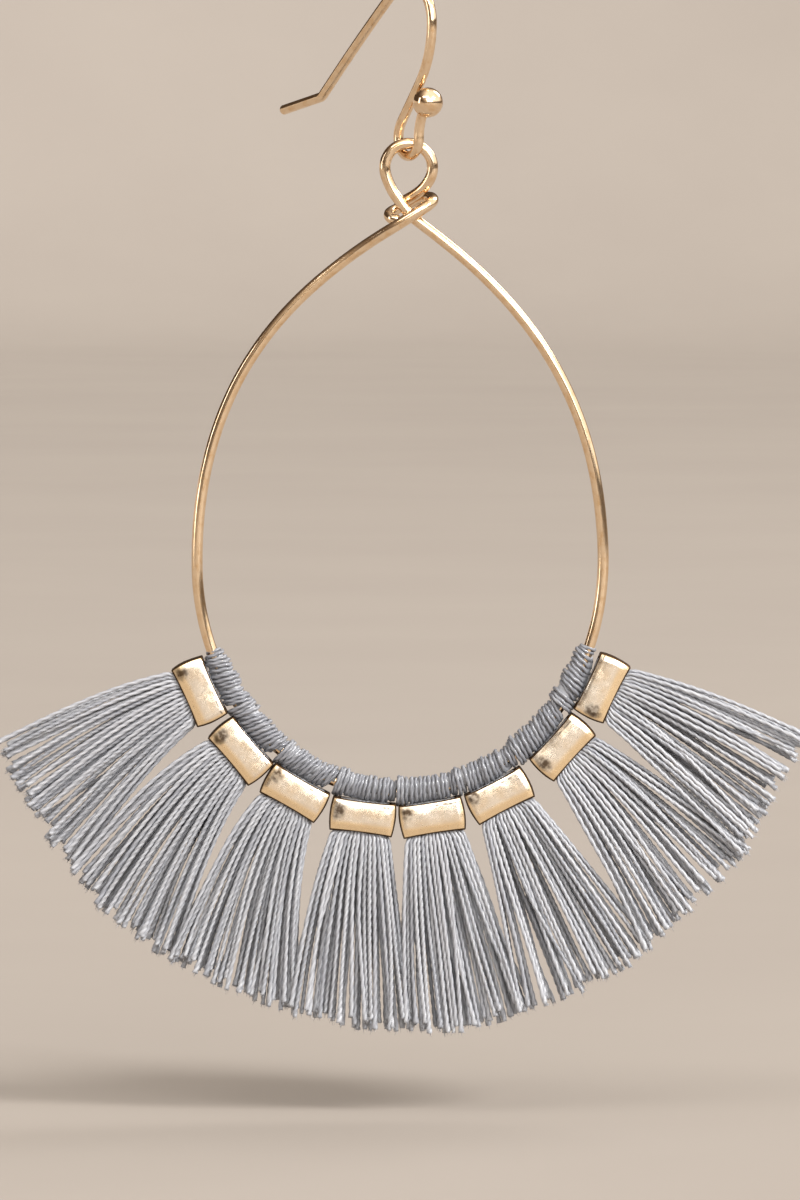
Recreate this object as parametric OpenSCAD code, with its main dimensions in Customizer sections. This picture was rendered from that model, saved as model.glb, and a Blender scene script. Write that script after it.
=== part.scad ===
// Tassel earring: a ball-ended ear wire, a teardrop hoop bent from one wire, and eight fringe
// tassels hung round its lower half, each drawn through a flat rectangular bead.
// Millimetres. The origin is the underside of the ear wire's arch, where it rests in the ear.
// X is across the hoop, Y points behind it and Z is up.

/* [Ear wire] */
// Diameter of the ear wire
hook_wire_d = 0.8; // [0.7:0.05:0.9]
// Radius of the small bend at the bottom that carries the hoop
cradle_r = 1.42; // [1.36:0.02:1.7]
// Radius of the bend where the leg leaves the cradle
leg_bend_r = 2.1; // [1.5:0.1:3]
// Angle by which the leg leans before it bows back upright
leg_lean = 39; // [34:1:44]
// Radius of the leg's long bow
leg_bow_r = 7.8; // [6:0.2:9]
// Radius of the arch that sits in the ear
arch_r = 3.2; // [2.8:0.1:4]
// Angle that the arch turns through
arch_turn = 128; // [120:1:136]
// Length of the back leg, from the arch to the kink
back_leg = 13; // [9:0.1:16]
// Angle by which the back leg bows along its length
back_bow = 3.2; // [1:0.2:6]
// Radius of the kink near the tip
kink_r = 1; // [0.8:0.1:2]
// Angle of the kink
kink_turn = 30; // [20:1:45]
// Length of the straight tip, past the kink
tip_run = 5.3; // [3:0.1:6.5]
// Radius of the short stem that carries the ball
stem_r = 3.9; // [3:0.1:6]
// Angle that the stem leans outwards
stem_lean = 47; // [36:1:52]
// Diameter of the ball
ball_d = 2.4; // [2:0.1:2.6]
// Angle between the ear wire's plane and the hoop's plane
hook_angle = 55; // [54:1:90]

/* [Hoop] */
// Diameter of the hoop wire
hoop_wire_d = 0.9; // [0.8:0.05:1]
// Width of the hoop between wire centres
hoop_w = 32.5; // [28:0.5:38]
// Height of the lower curve, from the widest level down
hoop_low = 18.7; // [16:0.1:22]
// How far the lower curve bulges past an ellipse halfway round it, as a share of its size
hoop_full = 0.01; // [0:0.005:0.03]
// Height of the upper sides, from the widest level up to where the wire crosses at the neck
hoop_up = 27.35; // [24:0.05:32]
// How early the upper sides turn in: 1 slopes the hoop's shoulders most, and less squares them
shoulder_fall = 0.63; // [0.4:0.01:1]
// How far the hoop's middle lies to the left of the crossing at the neck
hoop_lean = 1; // [0:0.1:2]
// Radius of the eye at the top, to the wire's centre
eye_r = 1.9; // [1.8:0.02:2.2]
// Drop from the eye's top to where the wire crosses at the neck
neck_drop = 5.85; // [5.7:0.05:6.4]
// How far the crossing lies to the right of the eye's top
neck_shift = 0.3; // [0:0.05:0.5]

/* [Beads] */
// Length of a bead along the hoop
bead_w = 5; // [4.5:0.1:6]
// Height of a bead, the way that the threads pass
bead_h = 2.75; // [2:0.05:3.5]
// Thickness of a bead from front to back
bead_t = 2.4; // [2.1:0.1:3]
// Wall of a bead
bead_wall = 0.35; // [0.3:0.05:0.5]
// Width of the bevel at each end of a face
end_bevel = 0.5; // [0.2:0.05:0.8]
// Height of the bevel along each rim of a face
rim_bevel = 0.45; // [0.2:0.05:0.8]
// How far the bevels slope back
bevel_depth = 0.25; // [0.1:0.05:0.25]
// Gap that a row of straight beads would have, along the wire
bead_gap = 0.05; // [0.05:0.05:0.6]

/* [Tassels] */
// Diameter of the thread wound round the hoop
wrap_d = 1.9; // [1.8:0.05:2.1]
// How far the winding's middle lies inside the hoop wire's
wrap_lift = 0.28; // [0:0.02:0.3]
// Gap between one tassel's winding and the next
wrap_gap = 0.2; // [0.15:0.05:0.6]
// Length of the fringe below a bead
fringe = 15.2; // [10:0.2:20]
// Angle that the first fringe spreads by at its open side
first_spread = 12; // [6:1:14]
// Angle that the last fringe spreads by at its open side
last_spread = 8; // [6:1:14]
// Gap between neighbouring fringes
fringe_gap = 0.3; // [0.2:0.05:0.8]
// Thickness of a fringe at its end, from front to back
fringe_t = 2.6; // [1.8:0.1:4]
// Locks in each tassel
locks = 8; // [7:1:9]

/* [Fits] */
// Gap where the eye hangs in the cradle
hang_clear = 0.15; // [0.1:0.01:0.25]
// Gap between the hoop wire and the winding round it
wrap_clear = 0.05; // [0.03:0.01:0.1]
// Gap between a winding and the bead below it
seat_clear = 0.12; // [0.12:0.01:0.2]
// Gap between the threads and a bead's inside
thread_clear = 0.08; // [0.05:0.01:0.15]

/* [Hidden] */

gold = [0.86, 0.7, 0.47];
antique_gold = [0.76, 0.6, 0.34];
grey_thread = [0.6, 0.61, 0.64];

// One row for each tassel, from left to right: how far it sits along the wire from its even
// place, as a share of the pitch; the turn of its bead on the wire, in degrees; the lean of its
// fringe from the bead's own direction, in degrees; and how far the fringe's middle reaches past
// its corners, as a share of its length.
SHIFT = 0;
TURN = 1;
LEAN = 2;
BULGE = 3;
tassels = [
    [0, -2, 10.6, 0.02],
    [0.024, -3.1, 15.6, 0.045],
    [-0.02, -1, 12.5, 0.01],
    [-0.02, 2.5, 6.7, 0.03],
    [-0.05, 0.5, -2.1, 0.05],
    [-0.065, 0.2, -1.7, 0.045],
    [0.05, -0.2, -7.5, 0.01],
    [0.06, -0.4, -4.2, -0.02]
];
count = len(tassels);

// The wire's way round the neck. Each row is how far across and how far up from the crossing,
// and how far behind the hoop's plane, in wire diameters.
// From the cut end that is tucked behind the neck, up to the right side of the eye.
eye_start = [
    [-1.0, 1.22, 1.12], [-0.44, 1.55, 1.1], [0.33, 2.0, 0.8], [1.0, 2.54, 0.4], [1.48, 3.2, 0.12]
];
// From the left side of the eye down through the neck to the right side of the hoop.
eye_finish = [
    [-2.06, 2.91, 0], [-1.72, 2.21, 0], [-1.25, 1.55, 0], [-0.64, 0.68, 0], [0, 0, 0],
    [0.75, -0.6, 0], [1.76, -1.34, 0]
];
// From the left side of the hoop up across the front of the neck.
neck_front = [
    [-3.3, -1.9, -0.5], [-1.66, -0.9, -1.12], [-0.29, -0.04, -1.18], [1, 0.78, -1.12], [1.63, 1.2, -0.72]
];
// Round the right of the neck, behind it, and round the left to the cut end in front.
neck_wrap = [
    [1.92, 1.52, 0.15], [1.68, 1.77, 1.15], [0.96, 1.7, 1.95], [0.11, 1.33, 2.35], [-0.75, 0.93, 2.4],
    [-1.55, 0.6, 2], [-2.05, 0.36, 1.2], [-2.1, 0.08, 0.48], [-1.8, -0.18, 0.02], [-1.32, -0.3, -0.14]
];

wire_sides = 12;
hook_sides = 16;
round_sides = 48;
chord_turn = 12;
tip_sink = 0.4;
tip_step = 0.02;
wrap_sides = 12;
wrap_steps = 6;
curve_steps = 2;
hoop_step = 8;
rise_step = 0.08;
rise_steps = 11;
lean_hold = 6;
eye_step = 20;
cut_bevel = 0.12;

// Ear wire: the straight run that brings the top of the arch plumb over the cradle, and the
// height of the arch's centre line over the cradle's.
leg_run = (cradle_r + arch_r - (leg_bend_r + leg_bow_r)*(1 - cos(leg_lean)))/sin(leg_lean);
arch_height = cradle_r + (leg_bend_r + leg_bow_r)*sin(leg_lean) + leg_run*cos(leg_lean) + arch_r;
cradle_z = hook_wire_d/2 - arch_height;
// The eye's top hangs in the cradle, and the hoop swings about it.
pivot_z = cradle_z + hook_wire_d/2 + hang_clear + hoop_wire_d/2;

// Hoop: heights above its widest level, which lies below the neck.
half_w = hoop_w/2;
widest_z = pivot_z - neck_drop - hoop_up;

// Beads and windings, measured out from the wire's centre.
bead_pitch = bead_w + bead_gap;
bead_out = wrap_d/2 - wrap_lift + seat_clear + bead_h/2;
hole_w = bead_w - 2*bead_wall;
hole_t = bead_t - 2*bead_wall;
// The threads start level with the wire's outer side, and the wire's clearance is cut from them.
thread_start = hoop_wire_d/2;

// Shares that shape a fringe: how much it swells as it leaves its bead, how far down it the threads
// keep the bead's direction, how deep a valley is beside its lock at the bead and at the ends, how
// thick a lock is on its thinner side, and how much shorter the valleys end, with a little more or
// less on each lock.
swell = 1.15;
straight_down = 0.12;
valley_root = 0.92;
valley_end = 0.25;
thin_side = 0.72;
notch = 0.05;
ragged = 0.02;

// Vectors
function unit(v) = v/norm(v);
function turned(angle, v) = [v[0]*cos(angle) - v[1]*sin(angle), v[0]*sin(angle) + v[1]*cos(angle)];
function toward(angle, length) = [length*cos(angle), length*sin(angle)];
function between(a, b, share) = a + (b - a)*share;

// Point on the smooth curve (cubic B-spline) that four knots guide, at a share of the way from
// the second to the third
function curve_point(a, b, c, d, t) =
    (pow(1 - t, 3)*a + (3*t*t*t - 6*t*t + 4)*b + (3*t + 3*t*t - 3*t*t*t + 1)*c + t*t*t*d)/6;

function smooth(knots, steps) =
    let (last = len(knots) - 1,
         k = concat([2*knots[0] - knots[1]], knots, [2*knots[last] - knots[last - 1]]))
    concat([for (i = [0:last - 1], j = [0:steps - 1]) curve_point(k[i], k[i + 1], k[i + 2], k[i + 3], j/steps)],
           [knots[last]]);

// Direction of a path at each of its points
function headings(path) =
    let (last = len(path) - 1)
    [for (i = [0:last]) unit(path[min(i + 1, last)] - path[max(i - 1, 0)])];

// A side direction carried along the path without twisting
function carried_sides(along) =
    [for (i = 0, side = unit(cross([0, 1, 0], along[0])); i < len(along);
          i = i + 1, side = i < len(along) ? unit(side - (side*along[i])*along[i]) : side) side];

// A closed round bar along a path, with a radius for each point
module bar(path, radii, sides) {
    along = headings(path);
    across = carried_sides(along);
    rings = len(path);
    points = [for (i = [0:rings - 1], k = [0:sides - 1])
        let (a = 360*(k + 0.5)/sides)
        path[i] + radii[i]*(cos(a)*across[i] + sin(a)*cross(along[i], across[i]))];
    walls = [for (i = [0:rings - 2], k = [0:sides - 1])
        let (p = i*sides + k, q = i*sides + (k + 1)%sides)
        each [[p, p + sides, q + sides], [p, q + sides, q]]];
    start_cap = [for (k = [0:sides - 1]) k];
    end_cap = [for (k = [sides - 1:-1:0]) (rings - 1)*sides + k];
    polyhedron(points, concat(walls, [start_cap, end_cap]), convexity = 10);
}

// Ear wire

// A stretch of wire is its length and the angle that it turns through, positive to the left.
function arc(radius, turn) = [radius*abs(turn)*PI/180, turn];

leg = [
    arc(cradle_r, -90), arc(leg_bend_r, -leg_lean), [leg_run, 0], arc(leg_bow_r, leg_lean),
    arc(arch_r, arch_turn), [back_leg, back_bow], arc(kink_r, -kink_turn)
];
stem = [arc(cradle_r, 90), arc(stem_r, -stem_lean)];

// The short chords that a list of stretches is walked in: each is a length and a turn.
function chords(stretches) =
    [for (s = stretches)
        let (n = ceil(max(abs(s[1]), 1)/chord_turn), half = s[1]/n/2,
             length = s[0]/n*(half == 0 ? 1 : sin(half)/(half*PI/180)))
        for (k = [1:n]) [length, 2*half]];

// Points along a walk from the cradle's bottom: across, up and heading
function walk(heading, moves) =
    [for (i = 0, p = [0, cradle_z], h = heading; i <= len(moves);
          p = p + (i < len(moves) ? toward(h + moves[i][1]/2, moves[i][0]) : [0, 0]),
          h = h + (i < len(moves) ? moves[i][1] : 0), i = i + 1) [p[0], p[1], h]];

leg_walk = walk(180, chords(leg));
stem_walk = walk(0, chords(stem));
tip_start = leg_walk[len(leg_walk) - 1];

// Point in space of a point in the ear wire's plane
function hook_point(p) = [p[0]*cos(hook_angle), -p[0]*sin(hook_angle), p[1]];

// Places what follows at a point of a walk, with Z along its heading
module at_heading(p) {
    translate(hook_point(p)) rotate([0, 0, -hook_angle]) rotate([0, 90 - p[2], 0]) children();
}

// The wire is one piece from the ball to the kink, sunk a little thinner into the tip.
module bent_wire() {
    stem_back = [for (i = [len(stem_walk) - 1:-1:1]) hook_point(stem_walk[i])];
    leg_out = [for (p = leg_walk) hook_point(p)];
    sunk = hook_point(tip_start + concat(toward(tip_start[2], tip_sink), [0]));
    path = concat(stem_back, leg_out, [sunk]);
    r = hook_wire_d/2;
    bar(path, [for (i = [0:len(path) - 1]) i < len(path) - 2 ? r : r - tip_step], hook_sides);
}

module ear_hook() {
    color(gold) {
        bent_wire();
        at_heading(stem_walk[len(stem_walk) - 1]) sphere(d = ball_d, $fn = round_sides);
        at_heading(tip_start) {
            cylinder(h = tip_run, d = hook_wire_d, $fn = round_sides);
            translate([0, 0, tip_run])
                cylinder(h = cut_bevel, d1 = hook_wire_d, d2 = hook_wire_d - 2*cut_bevel, $fn = round_sides);
        }
    }
}

// Hoop

// How far out the knots of an arc stand so that the smooth curve through them keeps its radius
function knots_out(step) = 3/(2 + cos(step));

function neck_point(row) =
    [neck_shift, 0, pivot_z - neck_drop] + hoop_wire_d*[row[0], row[2], row[1]];

// Point on the hoop: across from its middle, and up from its widest level. The middle comes back
// over the crossing only near the top.
function hoop_point(across, up) =
    [neck_shift - hoop_lean*(1 - pow(max(up, 0)/hoop_up, lean_hold)) + across, 0, widest_z + up];

function eye_point(angle) =
    [0, 0, pivot_z - eye_r] + eye_r*knots_out(eye_step)*[cos(angle), 0, sin(angle)];

// The lower curve is an ellipse, a little fuller halfway round each side. Its size at an angle from
// the bottom, and the direction that it runs in there
function fullness(angle) = 1 + hoop_full*pow(sin(2*angle), 2);
function low_way(angle) =
    let (f = fullness(angle), g = 2*hoop_full*sin(4*angle))
    [half_w*(cos(angle)*f + sin(angle)*g), hoop_low*(sin(angle)*f - cos(angle)*g)];

function low_point(angle) =
    let (k = knots_out(hoop_step)*fullness(angle))
    hoop_point(half_w*k*cos(angle), -hoop_low*k*sin(angle));

// Point on the left (-1) or right (1) upper side, at a share of the way up it
function side_point(side, rise) =
    hoop_point(side*half_w*(1 - shoulder_fall*pow(rise, 2) - (1 - shoulder_fall)*pow(rise, 4)), hoop_up*rise);

hoop_knots = concat(
    [for (row = eye_start) neck_point(row)],
    [for (a = [-eye_step:eye_step:180 + eye_step]) eye_point(a)],
    [for (row = eye_finish) neck_point(row)],
    [for (k = [rise_steps:-1:1]) side_point(1, k*rise_step)],
    [for (a = [0:hoop_step:180]) low_point(a)],
    [for (k = [1:rise_steps]) side_point(-1, k*rise_step)],
    [for (row = neck_front) neck_point(row)],
    [for (row = neck_wrap) neck_point(row)]
);

module hoop_wire() {
    path = smooth(hoop_knots, curve_steps);
    last = len(path) - 1;
    r = hoop_wire_d/2;
    start = path[0] + cut_bevel*unit(path[0] - path[1]);
    finish = path[last] + cut_bevel*unit(path[last] - path[last - 1]);
    color(gold) bar(concat([start], path, [finish]),
                    concat([r - cut_bevel], [for (p = path) r], [r - cut_bevel]), wire_sides);
}

// Lower curve of the hoop, where the tassels hang

// Length of wire from the bottom to each angle on the lower curve, positive to the right
arc_step = 2;
arc_lengths = [for (a = 0, s = 0; a <= 90; a = a + arc_step,
    s = s + norm(low_way(a - arc_step/2))*arc_step*PI/180) [s, a]];

function curve_angle(s) = sign(s)*lookup(abs(s), arc_lengths);
function on_curve(s) =
    let (a = curve_angle(s), f = fullness(a))
    [neck_shift - hoop_lean + half_w*f*sin(a), widest_z - hoop_low*f*cos(a)];
function tilt(s) =
    let (way = low_way(curve_angle(s)))
    atan2(way[1], way[0]);

// Tassels are numbered from 0 here; places along the wire are measured from the bottom.
function place(i) = (i - (count - 1)/2 + tassels[i][SHIFT])*bead_pitch;
function bead_tilt(i) = tilt(place(i)) + tassels[i][TURN];
function bead_centre(i) = on_curve(place(i)) + turned(tilt(place(i)), [0, -bead_out]);
function bead_corner(i, side) = bead_centre(i) + turned(bead_tilt(i), [side*bead_w/2, -bead_h/2]);
function fringe_heading(i) = bead_tilt(i) - 90 + tassels[i][LEAN];

// Lines that part the fringes: line i lies between tassel i - 1 and tassel i
function line_start(i) =
    i == 0 ? bead_corner(0, -1) :
    i == count ? bead_corner(count - 1, 1) :
    between(bead_corner(i - 1, 1), bead_corner(i, -1), 0.5);
function line_heading(i) =
    i == 0 ? fringe_heading(0) - first_spread :
    i == count ? fringe_heading(count - 1) + last_spread :
    (fringe_heading(i - 1) + fringe_heading(i))/2;
function line_end(i, side) =
    line_start(i) + toward(line_heading(i), fringe)
    + toward(line_heading(i) + 90*side, fringe_gap/2);

// Where the winding of tassel i starts and ends along the wire
function wrap_from(i) =
    (i == 0 ? place(0) - bead_pitch/2 : (place(i - 1) + place(i))/2) + wrap_gap/2;
function wrap_to(i) =
    (i == count - 1 ? place(i) + bead_pitch/2 : (place(i) + place(i + 1))/2) - wrap_gap/2;

// Beads

// Rectangle of a bead's thickness, with bevels of the given width
module bevelled(width, bevel) {
    half = bead_t/2;
    polygon([
        [-width/2 + bevel, -half], [width/2 - bevel, -half],
        [width/2, -half + bevel_depth], [width/2, half - bevel_depth],
        [width/2 - bevel, half], [-width/2 + bevel, half],
        [-width/2, half - bevel_depth], [-width/2, -half + bevel_depth]
    ]);
}

// Rectangular tube, open along Z, whose two faces are bevelled at their ends and rims
module bead_tube() {
    difference() {
        intersection() {
            linear_extrude(bead_h, center = true) bevelled(bead_w, end_bevel);
            rotate([90, 0, 90]) linear_extrude(bead_w, center = true) rotate(90) bevelled(bead_h, rim_bevel);
        }
        cube([hole_w, hole_t, bead_h + 1], center = true);
    }
}

// Places what follows at bead i, with X along the bead and -Z the way that its fringe leaves
module at_bead(i) {
    c = bead_centre(i);
    translate([c[0], 0, c[1]]) rotate([0, -bead_tilt(i), 0]) children();
}

module bead(i) {
    color(antique_gold) at_bead(i) bead_tube();
}

// Tassels

// Bar along the lower curve, from one place on the wire to another, and a little inside it
module along_wire(from, to, radius, inside = 0) {
    path = [for (k = [0:wrap_steps])
        let (s = between(from, to, k/wrap_steps), p = on_curve(s) + turned(tilt(s), [0, inside]))
        [p[0], 0, p[1]]];
    bar(path, [for (p = path) radius], wrap_sides);
}

// A tassel's threads from the winding to their ends are one fluted solid. Line q of it runs from 0
// at the left edge to 2*locks at the right: odd on the crest of a lock, even in a valley.

// Where line q leaves the bead, with the width of its hole times spread, and where it ends
function flute_root(i, q, spread) =
    bead_centre(i) + turned(bead_tilt(i), [(q/locks - 1)*(hole_w/2 - thread_clear)*spread, -bead_h/2]);
function flute_tip(i, q) =
    let (share = q/(2*locks),
         uneven = q%2 == 0 ? -notch : ragged*sin(137*q + 71*i))
    between(line_end(i, 1), line_end(i + 1, -1), share)
    + toward(fringe_heading(i), fringe*(tassels[i][BULGE]*(1 - pow(2*share - 1, 2)) + uneven));

// Point of line q at a share t of the way down the fringe, in the hoop's plane
function flute(i, q, t) =
    let (root = flute_root(i, q, t == 0 ? 1 : swell),
         guide = root + toward(bead_tilt(i) - 90, straight_down*fringe))
    pow(1 - t, 2)*root + 2*t*(1 - t)*guide + t*t*flute_tip(i, q);

// How far line q stands in front of the hoop's plane, or behind it for side -1. Every other lock
// lies further forward.
function flute_depth(q, t, side) =
    let (crest = (q%4 == 1) == (side > 0) ? 1 : between(1, thin_side, sqrt(t)),
         valley = between(valley_root, valley_end, t))
    between(hole_t/2 - thread_clear, fringe_t/2, sqrt(t))*(q%2 == 0 ? valley : crest);

// One closed slice: along the front from left to right, and back behind
function slice(i, t) =
    concat([for (q = [0:2*locks]) let (p = flute(i, q, t), edge = q == 0 || q == 2*locks)
                [p[0], edge ? 0 : -flute_depth(q, t, 1), p[1]]],
           [for (q = [2*locks - 1:-1:1]) let (p = flute(i, q, t)) [p[0], flute_depth(q, t, -1), p[1]]]);

// Facets that close the slice whose first point is e: the two corners, and strips from front to back
function end_facets(e) =
    let (n = 2*locks, around = 2*n)
    concat([[e, e + 1, e + around - 1]],
           [for (q = [1:n - 2], back = e + around - q) each [[e + q, e + q + 1, back], [e + q + 1, back - 1, back]]],
           [[e + n - 1, e + n, e + n + 1]]);

// The straight stretch through the bead repeats the first slice further up.
module threads(i) {
    stations = [0, 0.05, 0.2, 0.45, 0.72, 1];
    mouth = slice(i, 0);
    lift = turned(bead_tilt(i), [0, bead_h/2 + bead_out - thread_start]);
    top = [for (p = mouth) p + [lift[0], 0, lift[1]]];
    points = concat(top, [for (t = stations) each slice(i, t)]);
    around = len(mouth);
    rings = len(stations) + 1;
    walls = [for (j = [0:rings - 2], k = [0:around - 1])
        let (p = j*around + k, q = j*around + (k + 1)%around)
        each [[p, q, q + around], [p, q + around, p + around]]];
    top_cap = [for (f = end_facets(0)) [f[2], f[1], f[0]]];
    polyhedron(points, concat(walls, top_cap, end_facets((rings - 1)*around)), convexity = 10);
}

module tassel(i) {
    color(grey_thread) difference() {
        union() {
            along_wire(wrap_from(i), wrap_to(i), wrap_d/2, wrap_lift);
            threads(i);
        }
        along_wire(wrap_from(i) - 1, wrap_to(i) + 1, hoop_wire_d/2 + wrap_clear);
    }
}

ear_hook();
hoop_wire();
for (i = [0:count - 1]) {
    bead(i);
    tassel(i);
}
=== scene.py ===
import math

import bpy
import numpy as np
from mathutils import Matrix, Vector, noise


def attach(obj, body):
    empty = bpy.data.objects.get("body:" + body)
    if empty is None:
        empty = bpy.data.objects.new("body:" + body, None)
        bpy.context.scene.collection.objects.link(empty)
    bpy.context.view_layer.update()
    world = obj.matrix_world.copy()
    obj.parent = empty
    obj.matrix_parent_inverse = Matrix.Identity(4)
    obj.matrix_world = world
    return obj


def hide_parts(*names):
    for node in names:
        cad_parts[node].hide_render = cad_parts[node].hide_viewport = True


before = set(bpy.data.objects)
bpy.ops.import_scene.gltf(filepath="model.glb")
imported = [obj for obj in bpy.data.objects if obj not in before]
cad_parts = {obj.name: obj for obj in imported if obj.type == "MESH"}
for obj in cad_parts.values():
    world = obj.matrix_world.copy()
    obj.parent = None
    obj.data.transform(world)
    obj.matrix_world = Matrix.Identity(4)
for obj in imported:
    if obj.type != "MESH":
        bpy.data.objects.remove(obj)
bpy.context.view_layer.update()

# Lengths below are in millimetres, as a jeweller's are, and meshes are made in metres.
MM = 0.001


# Camera
# A long lens, square to the hoop and a little above its middle, as the earring was photographed.
# The picture is 96 mm high at the hoop's plane.

picture_height = 96
aim = Vector((-0.69, 0, -48.9)) * MM
camera_distance = 0.7
camera_rise = math.radians(3.5)

camera_data = bpy.data.cameras.new("camera")
camera_data.sensor_fit = "VERTICAL"
camera_data.sensor_height = 36
camera_data.lens = camera_data.sensor_height * camera_distance / (picture_height * MM)
camera_data.clip_start = 0.01
camera = bpy.data.objects.new("camera", camera_data)
away = Vector((0, -math.cos(camera_rise), math.sin(camera_rise)))
camera.location = aim + camera_distance * away
camera.rotation_euler = away.to_track_quat("Z", "Y").to_euler()
bpy.context.scene.collection.objects.link(camera)
bpy.context.scene.camera = camera


# Studio
# A pale plaster floor curved up into a low wall, a large soft light high on the right, weak boxes
# over the camera, on the left and overhead that show in the metal, and one behind for the rims.

bpy.context.scene.view_settings.view_transform = "Standard"

floor_z = -90.5
floor_r = 1900
sweep_bend_r = 300
wall_top = 260
sweep_sides = 96


def mesh_object(name, points, faces):
    """Adds a mesh whose points are given in millimetres."""
    mesh = bpy.data.meshes.new(name)
    places = (np.asarray(points, float) * MM).tolist()
    mesh.from_pydata(places, [], [list(map(int, f)) for f in faces])
    mesh.update()
    piece = bpy.data.objects.new(name, mesh)
    bpy.context.scene.collection.objects.link(piece)
    return piece


def smooth_all(piece):
    piece.data.polygons.foreach_set("use_smooth", [True] * len(piece.data.polygons))


class Finish:
    """A material being made: its Principled shader, and short ways to add and link nodes."""

    def __init__(self, name, **sockets):
        self.material = bpy.data.materials.new(name)
        self.material.use_nodes = True
        self.tree = self.material.node_tree
        self.shader = self.tree.nodes["Principled BSDF"]
        for socket, value in sockets.items():
            self.shader.inputs[socket.replace("_", " ")].default_value = value

    def node(self, kind, links=(), **settings):
        made = self.tree.nodes.new("ShaderNode" + kind)
        for key, value in settings.items():
            setattr(made, key, value)
        for socket, source in links:
            self.give(made.inputs[socket], source)
        return made

    def give(self, socket, source):
        if isinstance(source, bpy.types.NodeSocket):
            self.tree.links.new(source, socket)
        else:
            socket.default_value = source

    def finish(self, socket, source):
        """Gives the shader's own socket a value or the output of a node."""
        self.give(self.shader.inputs[socket], source)

    def on_map(self, uv_map):
        """The two coordinates of one of the mesh's own maps."""
        place = self.node("UVMap", uv_map=uv_map).outputs[0]
        return self.node("SeparateXYZ", [("Vector", place)]).outputs[:2]

    def math(self, operation, first, second=0.0, third=0.0):
        made = self.node("Math", operation=operation)
        for socket, source in zip(made.inputs, (first, second, third)):
            self.give(socket, source)
        return made.outputs[0]

    def chain(self, operation, first, *others):
        """One operation over several values in turn."""
        for other in others:
            first = self.math(operation, first, other)
        return first

    def distance(self, first, second):
        return self.math("ABSOLUTE", self.math("SUBTRACT", first, second))

    def blend(self, share, first, second):
        made = self.node("Mix", data_type="RGBA")
        for socket, source in ((0, share), (6, first), (7, second)):
            self.give(made.inputs[socket], source)
        return made.outputs[2]

    def ramp(self, source, low, high):
        """0 at the value low, 1 at the value high."""
        made = self.node("MapRange", interpolation_type="SMOOTHSTEP")
        for socket, value in ((0, source), (1, low), (2, high)):
            self.give(made.inputs[socket], value)
        return made.outputs[0]

    def noise_at(self, place, scale, detail, roughness=0.5):
        made = self.node("TexNoise", [("Vector", place), ("Scale", scale),
                                      ("Detail", detail), ("Roughness", roughness)])
        return made.outputs["Fac"]

    def grain(self, uv_map, stretch, scale, detail=3.0, roughness=0.55):
        """Noise on one of the mesh's own maps, or on the object where uv_map is empty."""
        if uv_map:
            place = self.node("UVMap", uv_map=uv_map).outputs[0]
        else:
            place = self.node("TexCoord").outputs["Object"]
        mapping = self.node("Mapping", [("Vector", place), ("Scale", stretch)])
        return self.noise_at(mapping.outputs[0], scale, detail, roughness)

    def bump(self, height, strength, depth_mm):
        made = self.node("Bump", [("Strength", strength), ("Distance", depth_mm * MM),
                                  ("Height", height)])
        self.finish("Normal", made.outputs[0])


plaster_deep = (0.315, 0.276, 0.243, 1)
plaster_pale = (0.350, 0.310, 0.272, 1)
plaster = Finish("pale_plaster", Roughness=0.75)
plaster_clouds = plaster.grain("", (1, 1, 1), 14.0)
plaster.finish("Base Color", plaster.blend(plaster_clouds, plaster_deep, plaster_pale))

sweep_profile = [(0, floor_z), (floor_r / 2, floor_z)]
sweep_profile += [(floor_r + sweep_bend_r * math.sin(a), floor_z + sweep_bend_r * (1 - math.cos(a)))
                  for a in np.radians(np.arange(0, 91, 6))]
sweep_profile += [(floor_r + sweep_bend_r, wall_top)]
sweep_turns = 2 * math.pi * np.arange(sweep_sides) / sweep_sides
sweep_points = [(0, 0, floor_z)]
sweep_points += [(r * math.cos(a), r * math.sin(a), z)
                 for r, z in sweep_profile[1:] for a in sweep_turns]
sweep_faces = []
for j in range(len(sweep_profile) - 1):
    for k in range(sweep_sides):
        ring_start = 1 + (j - 1) * sweep_sides
        here, beside = ring_start + k, ring_start + (k + 1) % sweep_sides
        if j == 0:
            sweep_faces.append((0, here + sweep_sides, beside + sweep_sides))
        else:
            sweep_faces.append((here, here + sweep_sides, beside + sweep_sides, beside))
sweep = mesh_object("plaster_sweep", sweep_points, sweep_faces)
sweep.data.materials.append(plaster.material)
smooth_all(sweep)


def soft_box(name, place, width, height, watts, tint):
    """A rectangular soft light aimed at the middle of the picture."""
    light = bpy.data.lights.new(name, "AREA")
    light.shape = "RECTANGLE"
    light.size = width
    light.size_y = height
    light.energy = watts
    light.color = tint
    lamp = bpy.data.objects.new(name, light)
    lamp.location = aim + Vector(place)
    lamp.rotation_euler = Vector(place).to_track_quat("Z", "Y").to_euler()
    bpy.context.scene.collection.objects.link(lamp)


warm_white = (1.0, 0.98, 0.96)
soft_white = (1.0, 0.99, 0.98)
sun_place = Vector((0.52, -0.42, 0.42))
soft_box("front", (0.35, -1.28, 0.50), 1.20, 0.70, 7.5, warm_white)
soft_box("left", (-1.32, -0.44, 0.26), 0.30, 1.10, 3.5, soft_white)
soft_box("overhead", (-0.35, -0.95, 1.05), 1.10, 0.25, 5.0, soft_white)
soft_box("rim", (0.82, 0.72, 0.86), 0.48, 0.72, 5.0, soft_white)

large_soft_light = bpy.data.lights.new("large_soft_light", "SUN")
large_soft_light.energy = 3.1
large_soft_light.angle = math.radians(15)
large_soft_light.color = soft_white
lamp = bpy.data.objects.new("large_soft_light", large_soft_light)
lamp.rotation_euler = sun_place.to_track_quat("Z", "Y").to_euler()
bpy.context.scene.collection.objects.link(lamp)

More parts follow.
